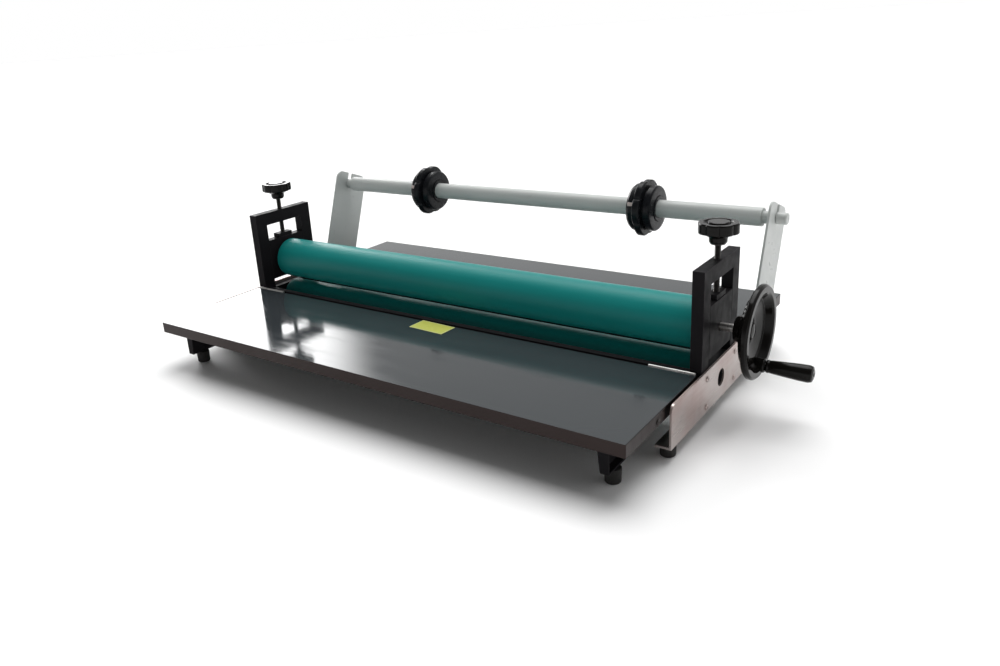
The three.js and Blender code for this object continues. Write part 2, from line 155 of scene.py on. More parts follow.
class Look:
    """A material in the making: its node tree, its shader and short calls for textures."""

    def __init__(self, name, colour, roughness, metallic=0.0, specular=0.5):
        self.material = bpy.data.materials.new(name)
        self.material.use_nodes = True
        self.tree = self.material.node_tree
        self.shader = self.tree.nodes["Principled BSDF"]
        self.shader.inputs["Base Color"].default_value = (*colour, 1)
        self.shader.inputs["Roughness"].default_value = roughness
        self.shader.inputs["Metallic"].default_value = metallic
        self.shader.inputs["Specular IOR Level"].default_value = specular

    def link(self, output, target):
        self.tree.links.new(output, target)

    def coordinates(self, stretch=(1, 1, 1)):
        """Object coordinates, scaled along each axis."""
        source = self.tree.nodes.new("ShaderNodeTexCoord")
        mapping = self.tree.nodes.new("ShaderNodeMapping")
        mapping.inputs["Scale"].default_value = stretch
        self.link(source.outputs["Object"], mapping.inputs["Vector"])
        return mapping.outputs["Vector"]

    def noise(self, scale, detail=4.0, roughness=0.5, stretch=(1, 1, 1)):
        texture = self.tree.nodes.new("ShaderNodeTexNoise")
        texture.inputs["Scale"].default_value = scale
        texture.inputs["Detail"].default_value = detail
        texture.inputs["Roughness"].default_value = roughness
        self.link(self.coordinates(stretch), texture.inputs["Vector"])
        return texture.outputs["Fac"]

    def cells(self, scale, stretch=(1, 1, 1), output="Distance"):
        texture = self.tree.nodes.new("ShaderNodeTexVoronoi")
        texture.inputs["Scale"].default_value = scale
        self.link(self.coordinates(stretch), texture.inputs["Vector"])
        return texture.outputs[output]

    def spread(self, value, low, high, out_low=0.0, out_high=1.0):
        return spread_node(self.tree, value, low, high, out_low, out_high)

    def maths(self, operation, a, b=0.0):
        return maths_node(self.tree, operation, a, b)

    def mix(self, factor, first, second):
        node = self.tree.nodes.new("ShaderNodeMix")
        node.data_type = "RGBA"
        self.link(factor, node.inputs[0])
        for socket, value in ((node.inputs[6], first), (node.inputs[7], second)):
            feed(self.tree, socket, (*value, 1) if isinstance(value, tuple) else value)
        return node.outputs[2]

    def edges(self, radius, low=0.02, high=0.12):
        """1 on sharp outer edges and corners, 0 on flat faces."""
        bevel = self.tree.nodes.new("ShaderNodeBevel")
        bevel.samples = 6
        bevel.inputs["Radius"].default_value = radius
        geometry = self.tree.nodes.new("ShaderNodeNewGeometry")
        dot = self.tree.nodes.new("ShaderNodeVectorMath")
        dot.operation = "DOT_PRODUCT"
        self.link(bevel.outputs["Normal"], dot.inputs[0])
        self.link(geometry.outputs["Normal"], dot.inputs[1])
        return self.spread(self.maths("SUBTRACT", 1.0, dot.outputs["Value"]), low, high)

    def facing_up(self, low, high):
        """1 where a face looks up, 0 where it stands upright."""
        geometry = self.tree.nodes.new("ShaderNodeNewGeometry")
        split = self.tree.nodes.new("ShaderNodeSeparateXYZ")
        self.link(geometry.outputs["Normal"], split.inputs[0])
        return self.spread(split.outputs["Z"], low, high)

    def colour(self, output):
        self.link(output, self.shader.inputs["Base Color"])

    def roughness(self, output):
        self.link(output, self.shader.inputs["Roughness"])

    def bump(self, height, strength, distance):
        node = self.tree.nodes.new("ShaderNodeBump")
        node.inputs["Strength"].default_value = strength
        node.inputs["Distance"].default_value = distance
        self.link(height, node.inputs["Height"])
        self.link(node.outputs["Normal"], self.shader.inputs["Normal"])


# ----------------------------------------------------------------------- materials


def table_paint():
    """Glossy charcoal enamel on folded steel sheet, duller on its upright lips; their browner tint
    is a painted reflection and the lighter edges are a painted highlight.
    """
    look = Look("table_enamel", (0.02, 0.023, 0.027), 0.09)
    cloud = look.noise(7, 3)
    top = look.mix(cloud, (0.028, 0.034, 0.037), (0.035, 0.040, 0.044))
    # The lips' browner colour is a painted reflection of a brown surface below them, not a
    # different paint.
    lips = look.mix(cloud, (0.027, 0.0205, 0.0195), (0.037, 0.029, 0.028))
    level = look.facing_up(0.6, 0.95)
    paint = look.mix(level, lips, top)
    # The lighter colour on the edges is a painted highlight.
    look.colour(look.mix(look.edges(0.9 * MM, 0.10, 0.30), paint, (0.10, 0.10, 0.105)))
    wipes = look.noise(26, 5, 0.6, (0.35, 2.2, 1))
    gloss = look.spread(wipes, 0.35, 0.75, 0.065, 0.15)
    upright = look.maths("SUBTRACT", 1.0, level)
    look.roughness(look.maths("ADD", gloss, look.maths("MULTIPLY", 0.3, upright)))
    # Metallic lips take that brown into their reflection: more painted reflection.
    look.link(upright, look.shader.inputs["Metallic"])
    look.bump(look.noise(900, 2), 0.035, 0.1 * MM)
    return look.material


def frame_paint():
    """Fine-grained black powder coat on the castings and folded brackets, with a painted highlight
    on the edges.
    """
    look = Look("black_powder_coat", (0.012, 0.011, 0.013), 0.42, specular=0.02)
    paint = look.mix(look.noise(30, 4), (0.0110, 0.0103, 0.0115), (0.0180, 0.0168, 0.0185))
    # The lighter colour on the edges is a painted highlight.
    look.colour(look.mix(look.edges(0.9 * MM, 0.05, 0.22), paint, (0.085, 0.083, 0.086)))
    look.roughness(look.spread(look.noise(80, 5), 0.3, 0.7, 0.33, 0.47))
    grain = look.maths("ADD", look.noise(1500, 3), look.maths("MULTIPLY", look.cells(700), 0.6))
    look.bump(grain, 0.16, 0.12 * MM)
    return look.material


def galvanised_sheet():
    """Warm grey zinc-plated sheet, brushed lengthwise, with faint spangle; its pinkish patches are
    a painted reflection, and the same patches vary the roughness as smudges.
    """
    look = Look("brushed_zinc", (0.44, 0.41, 0.39), 0.36, metallic=0.85)
    spangle = look.cells(55, (1, 1, 1.3), output="Color")
    split = look.tree.nodes.new("ShaderNodeSeparateColor")
    look.link(spangle, split.inputs[0])
    pink_reflection_and_smudge = look.noise(14, 4, 0.55)
    # The pinkish colour of these patches is a painted reflection of a reddish surround; the mask
    # also drives the roughness below.
    base = look.mix(look.spread(pink_reflection_and_smudge, 0.35, 0.68), (0.47, 0.42, 0.40), (0.42, 0.315, 0.295))
    look.colour(look.mix(look.spread(split.outputs[0], 0, 1, 0, 0.2), base, (0.54, 0.47, 0.45)))
    brush = look.noise(420, 3, 0.6, (1, 0.03, 1))
    look.roughness(look.spread(look.maths("MULTIPLY", brush, pink_reflection_and_smudge), 0.1, 0.45, 0.26, 0.46))
    look.bump(brush, 0.05, 0.06 * MM)
    return look.material


def grey_paint():
    """Light grey satin paint on the uprights and the supply tube."""
    look = Look("light_grey_paint", (0.49, 0.51, 0.50), 0.36, specular=0.3)
    paint = look.mix(look.noise(18, 4), (0.465, 0.49, 0.48), (0.52, 0.535, 0.52))
    rubs = look.spread(look.noise(60, 6, 0.7, (0.25, 1, 1)), 0.66, 0.78)
    look.colour(look.mix(rubs, paint, (0.42, 0.435, 0.43)))
    look.roughness(look.spread(look.noise(90, 5), 0.3, 0.7, 0.27, 0.42))
    look.bump(look.noise(1100, 2), 0.06, 0.1 * MM)
    return look.material


def bare_steel():
    """Turned bright steel with fine tool marks."""
    look = Look("turned_steel", (0.55, 0.54, 0.52), 0.24, metallic=1.0)
    look.colour(look.mix(look.noise(70, 5), (0.58, 0.57, 0.55), (0.48, 0.47, 0.455)))
    marks = look.noise(1400, 2, 0.5, (1, 0.06, 0.06))
    look.roughness(look.spread(marks, 0.3, 0.7, 0.27, 0.36))
    look.bump(marks, 0.01, 0.02 * MM)
    return look.material


def blackened_steel():
    """Black oxide on screws and washers, rubbed a little on the edges."""
    look = Look("black_oxide_steel", (0.03, 0.028, 0.027), 0.36, metallic=0.7)
    base = look.mix(look.noise(160, 4), (0.022, 0.02, 0.019), (0.045, 0.04, 0.038))
    look.colour(look.mix(look.edges(0.4 * MM, 0.04, 0.2), base, (0.20, 0.19, 0.18)))
    look.roughness(look.spread(look.noise(300, 4), 0.3, 0.7, 0.28, 0.5))
    look.bump(look.noise(1800, 2), 0.08, 0.05 * MM)
    return look.material


def roller_rubber():
    """Ground teal silicone rubber with faint streaks along the roller and a dusty bloom."""
    look = Look("teal_roller_rubber", (0.006, 0.22, 0.205), 0.4, specular=0.16)
    streaks = look.noise(120, 3, 0.6, (0.03, 1, 1))
    base = look.mix(streaks, (0.005, 0.20, 0.187), (0.008, 0.24, 0.225))
    bloom = look.spread(look.noise(24, 5, 0.6, (0.3, 1, 1)), 0.55, 0.85, 0, 0.16)
    look.colour(look.mix(bloom, base, (0.03, 0.31, 0.295)))
    look.roughness(look.spread(streaks, 0.3, 0.7, 0.36, 0.46))
    look.bump(look.noise(1000, 3, 0.6, (0.5, 1, 1)), 0.07, 0.08 * MM)
    return look.material


def foot_rubber():
    """Matte black moulded rubber."""
    look = Look("black_rubber", (0.014, 0.013, 0.013), 0.72, specular=0.3)
    look.colour(look.mix(look.noise(90, 4), (0.010, 0.0095, 0.0095), (0.021, 0.020, 0.019)))
    look.roughness(look.spread(look.noise(200, 4), 0.3, 0.7, 0.62, 0.85))
    look.bump(look.noise(900, 4), 0.25, 0.15 * MM)
    return look.material


def bakelite():
    """Polished black phenolic moulding with a faint flow pattern."""
    look = Look("black_bakelite", (0.004, 0.0038, 0.0034), 0.15, specular=0.12)
    flow = look.noise(35, 5, 0.6)
    look.colour(look.mix(flow, (0.0045, 0.0042, 0.0038), (0.0075, 0.0068, 0.0062)))
    look.roughness(look.spread(look.noise(60, 5, 0.6), 0.3, 0.7, 0.09, 0.17))
    look.bump(look.noise(420, 3), 0.03, 0.1 * MM)
    return look.material


def hub_plastic():
    """Semi-gloss black moulded plastic, finely textured."""
    look = Look("black_hub_plastic", (0.0055, 0.006, 0.0075), 0.27, specular=0.13)
    look.colour(look.mix(look.noise(60, 4), (0.0065, 0.0072, 0.009), (0.0105, 0.0112, 0.0132)))
    look.roughness(look.spread(look.noise(150, 4), 0.3, 0.7, 0.22, 0.36))
    look.bump(look.noise(1300, 3), 0.09, 0.08 * MM)
    return look.material


def printed_paper(name, first, second):
    """Matt coated paper with a slight mottle."""
    look = Look(name, first, 0.5, specular=0.35)
    look.colour(look.mix(look.noise(120, 5, 0.6), first, second))
    look.roughness(look.spread(look.noise(260, 4), 0.3, 0.7, 0.42, 0.6))
    look.bump(look.noise(900, 3), 0.08, 0.05 * MM)
    return look.material


def marker_plastic():
    """Pale insert of the hubs' locking marks."""
    look = Look("pale_insert", (0.50, 0.42, 0.40), 0.45)
    look.colour(look.mix(look.noise(300, 3), (0.46, 0.38, 0.36), (0.56, 0.48, 0.455)))
    look.bump(look.noise(900, 3), 0.06, 0.05 * MM)
    return look.material


LOOKS = {
    "table_paint": table_paint(),
    "frame_paint": frame_paint(),
    "galvanised_sheet": galvanised_sheet(),
    "grey_paint": grey_paint(),
    "bare_steel": bare_steel(),
    "roller_rubber": roller_rubber(),
    "foot_rubber": foot_rubber(),
    "bakelite": bakelite(),
    "hub_plastic": hub_plastic(),
    "label_paper": printed_paper("label_border_paper", (0.50, 0.54, 0.21), (0.46, 0.50, 0.18)),
}
BLACK_OXIDE = blackened_steel()
LABEL_INK = printed_paper("label_field_paper", (0.42, 0.45, 0.06), (0.36, 0.39, 0.05))
PALE_INSERT = marker_plastic()


# -------------------------------------------------------------------- mesh helpers


def smooth(piece, sharp_degrees=38):
    """Smooth shading with crisp creases and flat faces that stay flat."""
    mesh = piece.data
    mesh.polygons.foreach_set("use_smooth", [True] * len(mesh.polygons))
    mesh.set_sharp_from_angle(angle=math.radians(sharp_degrees))
    weighted = piece.modifiers.new("weighted_normals", "WEIGHTED_NORMAL")
    weighted.keep_sharp = True
    return piece


def object_from(name, bm):
    bmesh.ops.recalc_face_normals(bm, faces=bm.faces)
    mesh = bpy.data.meshes.new(name)
    bm.to_mesh(mesh)
    bm.free()
    piece = bpy.data.objects.new(name, mesh)
    bpy.context.scene.collection.objects.link(piece)
    return piece


def dress(piece, slot, material=None):
    piece.data.materials.clear()
    piece.data.materials.append(material or LOOKS[slot])
    return piece


def stand_for(piece, node, slot, material=None):
    """The piece is shown in place of a CAD node and moves with its body."""
    dress(piece, slot, material)
    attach(piece, nodes[node]["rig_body"])
    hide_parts(node)
    return piece


def add_to(piece, node, slot, material=None):
    """The piece is extra detail that moves with a CAD node's body."""
    dress(piece, slot, material)
    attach(piece, nodes[node]["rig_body"])
    return piece


def softened(points, radius, steps=3, closed=False):
    """Rounds the corners of a profile of (along, radius) pairs."""
    result = []
    count = len(points)
    for i, point in enumerate(points):
        here = Vector(point)
        back = Vector(points[i - 1]) - here
        on = Vector(points[(i + 1) % count]) - here
        if not closed and i in (0, count - 1) or back.angle(on) > math.radians(168):
            result.append(tuple(here))
            continue
        reach = min(radius / math.tan(back.angle(on) / 2), 0.45 * back.length, 0.45 * on.length)
        start = here + back.normalized() * reach
        end = here + on.normalized() * reach
        for k in range(steps + 1):
            t = k / steps
            result.append(tuple((1 - t) ** 2 * start + 2 * t * (1 - t) * here + t * t * end))
    return result


def join_rings(bm, first, second):
    """Faces between two rings of vertices; a ring of one vertex is a pole."""
    if len(first) == 1 and len(second) == 1:
        return
    count = max(len(first), len(second))
    for i in range(count):
        j = (i + 1) % count
        corners = [first[i % len(first)], first[j % len(first)], second[j % len(second)],
                   second[i % len(second)]]
        unique = list(dict.fromkeys(corners))
        bm.faces.new(unique)


def turned(name, profile, axis, origin, segments=96, wave=None, closed=False):
    """Revolves (along, radius) pairs in metres about an X or Z axis through origin.

    wave(angle, radius, along) may change the radius, for lobes and threads."""
    bm = bmesh.new()
    rings = []
    for along, radius in profile:
        ring = []
        for i in range(1 if radius < 1e-6 else segments):
            angle = 2 * math.pi * i / segments
            reach = wave(angle, radius, along) if wave and radius >= 1e-6 else radius
            u, v = reach * math.cos(angle), reach * math.sin(angle)
            offset = Vector((along, u, v)) if axis == "X" else Vector((u, v, along))
            ring.append(bm.verts.new(Vector(origin) + offset))
        rings.append(ring)
    if closed:
        rings.append(rings[0])
    for first, second in zip(rings, rings[1:]):
        join_rings(bm, first, second)
    return object_from(name, bm)


def scaled(profile):
    """A profile in millimetres as metres."""
    return [(along * MM, radius * MM) for along, radius in profile]


def flipped(profile):
    """A profile for the left-hand twin of a right-hand part."""
    return [(-along, radius) for along, radius in reversed(profile)]


def axis_of(node):
    """Middle of a node's box: a point on the axis of a turned node."""
    low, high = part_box(node)
    return (low + high) / 2


def lobes(count, depth, inner, outer):
    """Scallops that deepen from the inner radius to the rim."""

    def wave(angle, radius, along):
        share = min(1, max(0, (radius - inner) / (outer - inner)))
        swell = math.sqrt(abs(math.cos(count * angle / 2)) + 0.02)
        return radius - depth * share * share * (1 - min(1, swell))

    return wave


def carve(piece, cutters):
    """Cuts the cutter objects out of the piece and removes them."""
    for cutter in cutters:
        modifier = piece.modifiers.new("cut", "BOOLEAN")
        modifier.operation = "DIFFERENCE"
        modifier.solver = "EXACT"
        modifier.object = cutter
    bpy.context.view_layer.update()
    evaluated = piece.evaluated_get(bpy.context.evaluated_depsgraph_get())
    mesh = bpy.data.meshes.new_from_object(evaluated)
    piece.modifiers.clear()
    piece.data = mesh
    for cutter in cutters:
        bpy.data.objects.remove(cutter)
    return piece


def block(name, low, high, soften=0.0):
    """A box between two corners, with rounded edges if asked."""
    bm = bmesh.new()
    bmesh.ops.create_cube(bm, size=1)
    size = Vector(high) - Vector(low)
    middle = (Vector(high) + Vector(low)) / 2
    bmesh.ops.transform(bm, matrix=Matrix.Translation(middle) @ Matrix.Diagonal((*size, 1)),
                        verts=bm.verts)
    if soften:
        bmesh.ops.bevel(bm, geom=list(bm.edges), offset=soften, segments=3, affect="EDGES",
                        profile=0.5)
    return object_from(name, bm)


# -------------------------------------------------------- CAD nodes that stay in view


def round_edges(node, width, merge_flat=True):
    """Rounded edges and clean shading on a flat-sided CAD node.

    merge_flat joins coplanar triangles first. A face that is a closed ring, such as the
    bottom rim of a table, can't be joined into one polygon, so the tables do without."""
    piece = nodes[node]
    mesh = piece.data
    mesh.polygons.foreach_set("use_smooth", [True] * len(mesh.polygons))
    piece.modifiers.new("weld", "WELD").merge_threshold = 1e-6
    if merge_flat:
        planar = piece.modifiers.new("planar", "DECIMATE")
        planar.decimate_type = "DISSOLVE"
        planar.angle_limit = math.radians(1)
    bevel = piece.modifiers.new("edges", "BEVEL")
    bevel.width = width
    bevel.segments = 3
    bevel.limit_method = "ANGLE"
    bevel.angle_limit = math.radians(40)
    bevel.use_clamp_overlap = True
    bevel.miter_outer = "MITER_ARC"
    piece.modifiers.new("weighted_normals", "WEIGHTED_NORMAL").keep_sharp = False
    return piece


def dress_cad_nodes():
    """Rounds the CAD nodes that stay in view (widths in millimetres) and gives all their looks."""
    edges = {
        "end_frame": 0.9, "side_plate": 0.55, "lower_block": 0.6, "upper_block": 0.7,
        "screw_retainer": 0.5, "upright": 0.5, "feed_bracket": 0.45, "delivery_bracket": 0.45,
        "hinge_fixed": 0.15, "hinge_moving": 0.15,
    }
    for name, width in edges.items():
        for side in SIDES:
            round_edges(f"{name}_{side}", width * MM)
    for name, width in (("front_rail", 0.5), ("rear_rail", 0.5), ("blank_label", 0.08)):
        round_edges(name, width * MM)
    for name in ("feed_table", "delivery_table"):
        round_edges(name, 0.9 * MM, merge_flat=False)
    for node in nodes.values():
        slots = [m.name.split(".")[0] for m in node.data.materials]
        node.data.materials[0] = LOOKS[slots[0]]


# -------------------------------------------------------------------------- rollers


def roller_sleeve(node):
    low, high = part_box(node)
    radius = (high.z - low.z) / 2
    bore = radius - SLEEVE_WALL
    profile = [(low.x, bore), (low.x, radius), (high.x, radius), (high.x, bore)]
    piece = turned(f"{node}_rubber", softened(profile, 1.2 * MM, closed=True), "X",
                   (0, axis_of(node).y, axis_of(node).z), 160, closed=True)
    stand_for(smooth(piece), node, "roller_rubber")


def roller_shaft(node, sleeve, stub_radius=0):
    """Core with journals; the upper one has a stub that carries on to the handwheel."""
    low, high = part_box(node)
    radius = (high.z - low.z) / 2
    sleeve_low, sleeve_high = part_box(sleeve)
    core_low, core_high = sleeve_low.x - SHAFT_SHOULDER, sleeve_high.x + SHAFT_SHOULDER
    profile = [(low.x, 0), (low.x, JOURNAL), (core_low, JOURNAL), (core_low, radius),
               (core_high, radius), (core_high, JOURNAL)]
    if stub_radius:
        journal_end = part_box("upper_block_right")[1].x - JOURNAL_PAST_BLOCK
        profile += [(journal_end, JOURNAL), (journal_end, stub_radius), (high.x, stub_radius)]
    else:
        profile += [(high.x, JOURNAL)]
    profile += [(high.x, 0)]
    piece = turned(f"{node}_turned", softened(profile, 0.7 * MM), "X",
                   (0, axis_of(sleeve).y, axis_of(sleeve).z), 96)
    stand_for(smooth(piece), node, "bare_steel")


# ------------------------------------------------------------------- pressure screws


def pressure_screw(side):
    """Threaded rod from the upper block up into the star knob."""
    node = f"pressure_screw_{side}"
    low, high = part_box(node)
    crest = (high.x - low.x) / 2
    root = crest - THREAD_DEPTH
    plain = 2 * MM

    def thread(angle, radius, along):
        if along < low.z + plain or along > high.z - plain:
            return radius
        phase = (along / THREAD_PITCH - angle / (2 * math.pi)) % 1
        return root + (crest - root) * abs(2 * phase - 1) ** 0.8

    rows = int((high.z - low.z - 2 * plain) / (THREAD_PITCH / THREAD_STEPS))
    middle = [(low.z + plain + i * THREAD_PITCH / THREAD_STEPS, root) for i in range(rows + 1)]
    profile = [(low.z, 0), (low.z, root), (low.z + plain * 0.95, root), *middle,
               (high.z - plain * 0.5, root), (high.z, root), (high.z, 0)]
    centre = axis_of(node)
    piece = turned(f"threaded_rod_{side}", profile, "Z", (centre.x, centre.y, 0), 32, thread)
    stand_for(smooth(piece, 60), node, "bare_steel", BLACK_OXIDE)


def star_knob(side):
    """Moulded eight-lobed knob with a thick rim, a shallow dish on top and a flat cap."""
    node = f"star_knob_{side}"
    low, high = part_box(node)
    rim = (high.x - low.x) / 2 / MM
    tall = (high.z - low.z) / MM
    profile = [(2, 0), (2, 4.1), (0, 4.4), (0, 9), (1.4, 9.8), (6.5, 10.2), (10.5, 17),
               (11.3, rim - 0.8), (12.3, rim), (tall - 2.2, rim), (tall - 0.8, rim - 1.4),
               (tall - 0.8, 17), (tall - 2.6, 15), (tall - 2.6, 12.5), (tall - 0.4, 11.6),
               (tall, 10.5), (tall, 0)]
    centre = axis_of(node)
    wave = lobes(KNOB_LOBES, KNOB_LOBE_DEPTH, KNOB_LOBES_START, rim * MM)
    piece = turned(f"star_knob_moulding_{side}", softened(scaled(profile), 0.8 * MM, 4), "Z",
                   (centre.x, centre.y, low.z), 192, wave)
    stand_for(smooth(piece), node, "bakelite")
    ring = scaled([(0, 4.2), (0, 8.4), (1.1, 8.4), (1.1, 4.2)])
    washer = turned(f"knob_washer_{side}", softened(ring, 0.3 * MM, closed=True), "Z",
                    (centre.x, centre.y, low.z - 1.2 * MM), 48, closed=True)
    add_to(smooth(washer), node, "bare_steel", BLACK_OXIDE)


# ------------------------------------------------------------------------ handwheel


def handwheel():
    """Dished wheel with its boss for the handle, the handle's stud, a cap and a grub screw."""
    node = "handwheel"
    centre = axis_of("upper_sleeve")
    rim = WHEEL_RIM
    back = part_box(node)[0].x / MM
    face = back + WHEEL_DEPTH
    seat = back + WHEEL_SEAT
    profile = [(back, 5.3), (back, 13.8), (back + 2, 15), (back + 7, 15.6), (back + 10.5, 22),
               (back + 14.7, 39.5), (back + 20.5, 44), (back + 20.5, rim - 2), (back + 22.3, rim),
               (face - 2.2, rim), (face, rim - 2.4), (face, 44.8), (face - 2, 42.8),
               (back + 19.6, 38.5), (back + 15.4, 22), (seat, 16), (seat, 5.3)]
    wheel = turned("handwheel_moulding", softened(scaled(profile), 1.4 * MM, 4, closed=True), "X",
                   (0, centre.y, centre.z), 160, closed=True)
    stand_for(smooth(wheel), node, "bakelite")

    handle_axis = (0, *axis_of("wheel_handle").yz)
    boss_profile = scaled([(back + 20.8, 0), (back + 20.8, 8.6), (back + 29.6, 8.1),
                           (back + 31.1, 6.6), (back + 31.1, 0)])
    boss = turned("handle_boss", softened(boss_profile, 1.0 * MM), "X", handle_axis, 64)
    add_to(smooth(boss), node, "bakelite")
    stud_profile = scaled([(back + 30, 0), (back + 30, 3), (back + 73, 3), (back + 73, 0)])
    stud = turned("handle_stud", stud_profile, "X", handle_axis, 32)
    add_to(smooth(stud), node, "bare_steel")

    cap_profile = scaled([(seat - 1, 0), (seat - 1, 10), (seat + 2.5, 9.8), (seat + 4.6, 8),
                          (seat + 5.4, 4), (seat + 5.6, 0)])
    cap = turned("wheel_cap", softened(cap_profile, 0.8 * MM), "X", (0, centre.y, centre.z), 64)
    add_to(smooth(cap), node, "bakelite")
    grub = turned("wheel_grub_screw", scaled([(0, 0), (0, 2.2), (1.0, 2.2), (1.0, 0)]), "Z",
                  ((back + 4.5) * MM, centre.y, centre.z + 14.4 * MM), 24)
    add_to(smooth(grub), node, "bare_steel", BLACK_OXIDE)


def wheel_handle():
    """Turned grip that swells towards its end."""
    node = "wheel_handle"
    low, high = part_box(node)
    centre = axis_of(node)
    root, tip = low.x / MM, high.x / MM
    profile = [(root, 3.3), (root, 6.6), (root + 2, 7.6), (root + 4, 7.0), (root + 6, 7.5),
               (root + 20, 8.5), (root + 36, 9.6), (tip - 5, 9.8), (tip - 1.3, 8.6), (tip, 5.2),
               (tip, 2.4), (tip - 1.4, 1.6), (tip - 1.4, 0)]
    piece = turned("wheel_handle_grip", softened(scaled(profile), 1.2 * MM, 4), "X",
                   (0, centre.y, centre.z), 96)
    stand_for(smooth(piece), node, "bakelite")


# --------------------------------------------------------------------- supply shaft


def supply_tube():
    node = "supply_tube"
    low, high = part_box(node)
    radius = (high.z - low.z) / 2
    profile = [(low.x, TUBE_BORE), (low.x, radius), (high.x, radius), (high.x, TUBE_BORE)]
    piece = turned("supply_tube_wall", softened(profile, 0.9 * MM, closed=True), "X",
                   (0, axis_of(node).y, axis_of(node).z), 96, closed=True)
    stand_for(smooth(piece), node, "grey_paint")


def supply_plug(side):
    """Turned end piece: spigot, shoulder, neck that drops in the upright's notch, collar."""
    node = f"supply_plug_{side}"
    low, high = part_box(node)
    upright_low, upright_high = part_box(f"upright_{side}")
    inner, outer, upright = low.x, high.x, upright_low.x
    if side == "left":
        inner, outer, upright = -high.x, -low.x, -upright_high.x
    spigot_end = inner + PLUG_SPIGOT_LENGTH
    neck_start, neck_end = upright - 0.6 * MM, upright + 3.6 * MM
    profile = [(inner, 0), (inner, PLUG_SPIGOT), (spigot_end, PLUG_SPIGOT),
               (spigot_end, PLUG_SHOULDER), (neck_start, PLUG_SHOULDER), (neck_start, PLUG_NECK),
               (neck_end, PLUG_NECK), (neck_end, PLUG_COLLAR), (outer - MM, PLUG_COLLAR),
               (outer, 6.5 * MM), (outer, 2 * MM), (outer - 1.2 * MM, 0)]
    if side == "left":
        profile = flipped(profile)
    piece = turned(f"supply_plug_turned_{side}", softened(profile, 0.6 * MM), "X",
                   (0, axis_of(node).y, axis_of(node).z), 64)
    stand_for(smooth(piece), node, "grey_paint")


def hub_middle(side):
    """Where a hub's disc meets its lock ring, along X in millimetres."""
    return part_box(f"core_hub_{side}")[0].x / MM + HUB_MIDDLE


def core_hub(side):
    """Hub body: domed flange disc and the sleeve that its lock ring turns on."""
    node = f"core_hub_{side}"
    centre = axis_of(node)
    x = hub_middle(side)
    profile = [(x - 17, HUB_BORE), (x - 17, 25), (x - 15.6, 29.5), (x - 12, 32.2), (x - 8, 33),
               (x - 5.4, 32.4), (x - 4.6, 30.5), (x - 4.6, HUB_SLEEVE), (x + 20, HUB_SLEEVE),
               (x + 20, HUB_BORE)]
    piece = turned(f"core_hub_moulding_{side}", softened(scaled(profile), 0.9 * MM, 4, closed=True),
                   "X", (0, centre.y, centre.z), 128, closed=True)
    stand_for(smooth(piece), node, "hub_plastic")

    half = Vector(MARK_SIZE) / 2
    mark = block(f"hub_mark_{side}", -half, half, 0.35 * MM)
    place = (Matrix.Translation((x * MM - 8.6 * MM, centre.y, centre.z))
             @ Matrix.Rotation(MARK_TURN, 4, "X"))
    mark.data.transform(place @ Matrix.Translation((0, MARK_REACH, 0))
                        @ Matrix.Rotation(math.radians(90), 4, "X"))
    add_to(smooth(mark), node, "hub_plastic", PALE_INSERT)


def lock_ring(side):
    """Six-lobed clamping ring, a groove and a smaller nose disc."""
    node = f"lock_ring_{side}"
    centre = axis_of(f"core_hub_{side}")
    x = hub_middle(side)
    rim = RING_RIM
    profile = [(x - 4, 17.4), (x - 4, rim - 1.5), (x - 2.8, rim), (x + 4.2, rim),
               (x + 5.6, rim - 2), (x + 6, 29), (x + 6.6, 27.5), (x + 8, 27.5), (x + 8.6, 30),
               (x + 9.2, 31), (x + 16.4, 31), (x + 18.4, 29.4), (x + 19, 26), (x + 19, 17.4)]
    wave = lobes(RING_LOBES, RING_LOBE_DEPTH, RING_LOBES_START, rim * MM)
    piece = turned(f"lock_ring_moulding_{side}",
                   softened(scaled(profile), 0.9 * MM, 4, closed=True), "X",
                   (0, centre.y, centre.z), 192, wave, closed=True)
    stand_for(smooth(piece), node, "hub_plastic")


# --------------------------------------------------------------------------- screws


def pan_head(name, radius, height, centre, direction):
    """Domed screw head with a cross recess, facing along direction on X."""
    profile = [(-0.2 * MM, 0), (-0.2 * MM, radius * 0.94), (0.25 * height, radius),
               (0.62 * height, radius * 0.86), (0.93 * height, radius * 0.5), (height, 0)]
    head = turned(name, softened(profile, 0.4 * MM), "X", (0, 0, 0), 40)
    arm, width, depth = radius * 0.52, radius * 0.11, 0.55 * height
    slots = [block(name + "_slot", (height - depth, -a, -b), (height + MM, a, b))
             for a, b in ((arm, width), (width, arm))]
    carve(head, slots)
    head.data.transform(Matrix.Rotation(RECESS_TURN, 4, "X"))
    if direction < 0:
        head.data.transform(Matrix.Rotation(math.pi, 4, "Z"))
    head.data.transform(Matrix.Translation(centre))
    return smooth(head)


def side_screws():
    """Four zinc-coloured heads hold each side plate."""
    for side in SIDES:
        plate_low, plate_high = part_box(f"side_plate_{side}")
        face = plate_high.x if side == "right" else plate_low.x
        for place in ("front_low", "front_high", "rear_low", "rear_high"):
            node = f"side_screw_{place}_{side}"
            centre = (face, *axis_of(node).yz)
            head = pan_head(f"side_screw_head_{place}_{side}", 3.6 * MM, 1.7 * MM, centre,
                            OUTWARD[side])
            stand_for(head, node, "bare_steel", LOOKS["galvanised_sheet"])


